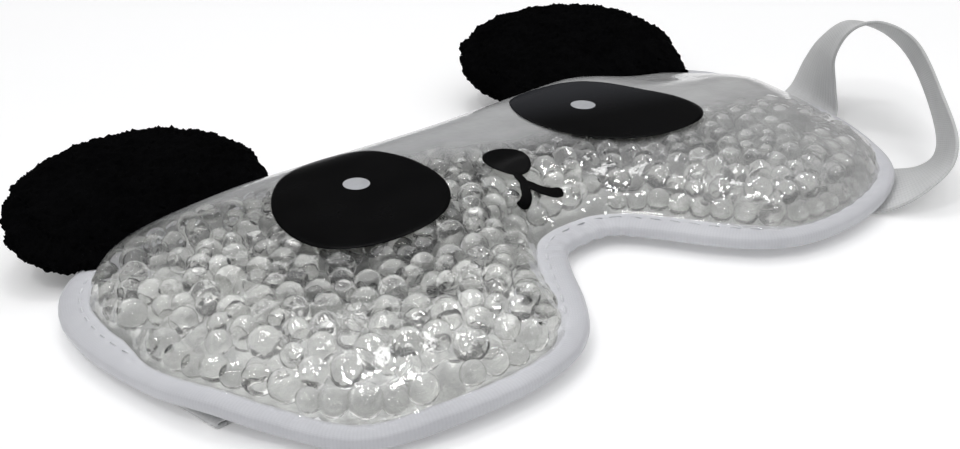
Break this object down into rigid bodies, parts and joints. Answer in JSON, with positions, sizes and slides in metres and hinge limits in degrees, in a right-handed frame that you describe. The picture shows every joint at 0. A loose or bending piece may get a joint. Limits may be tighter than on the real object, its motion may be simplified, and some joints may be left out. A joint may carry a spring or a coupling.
{
  "type": "gel bead eye mask",
  "caption": "Reusable eye mask: a clear domed pouch of gel beads with a printed panda face, cloth binding, hinged plush ears and an elastic head strap.",
  "frame": {"origin": "on the table under the nose, on the lower face of the folded strap that carries the mask", "axes": "+X to the right across the face, +Y up the face towards the ears, +Z out of the face, up from the table"},
  "size_m": [0.2228, 0.1517, 0.0304],
  "materials": {
    "binding": "woven satin tape, white with a cool tint",
    "thread": "spun polyester thread",
    "backing": "short soft pile",
    "film": "soft clear film, glossy",
    "gel": "clear water-based gel",
    "print": "opaque black ink under a glossy film",
    "plush": "deep black plush, matt",
    "dark_thread": "spun polyester thread",
    "filling": "loose fibre wadding",
    "elastic": "woven elastic with fine lengthwise ribs"
  },
  "bodies": {
    "pad": {"binding_tape": "binding", "binding_stitches": "thread", "backing_panel": "backing", "back_film": "film", "front_film": "film", "gel_beads": "gel", "left_eye_patch": "print", "right_eye_patch": "print", "nose_print": "print", "mouth_print": "print", "left_ear_tab": "plush", "left_ear_stitches": "dark_thread", "right_ear_tab": "plush", "right_ear_stitches": "dark_thread", "left_strap_end": "elastic", "right_strap_end": "elastic", "left_strap_bartack": "thread", "right_strap_bartack": "thread"},
    "left_ear": {"left_ear_front": "plush", "left_ear_back": "plush", "left_ear_filling": "filling"},
    "right_ear": {"right_ear_front": "plush", "right_ear_back": "plush", "right_ear_filling": "filling"},
    "strap": {"elastic_strap": "elastic"}
  },
  "joints": [
    {"name": "left_ear_flop", "type": "hinge", "parent": "pad", "child": "left_ear", "pos_m": [-0.066, 0.0496, 0.0042], "axis": [0.9781, 0.2079, 0], "range_deg": [-30, 55], "stiffness_Nm_per_rad": 0.01},
    {"name": "right_ear_flop", "type": "hinge", "parent": "pad", "child": "right_ear", "pos_m": [0.066, 0.0496, 0.0042], "axis": [0.9781, -0.2079, 0], "range_deg": [-30, 55], "stiffness_Nm_per_rad": 0.01},
    {"name": "strap_swing", "type": "hinge", "parent": "pad", "child": "strap", "pos_m": [0, 0.0037, 0.00165], "axis": [1, 0, 0], "range_deg": [0, 110], "stiffness_Nm_per_rad": 0.004}
  ]
}
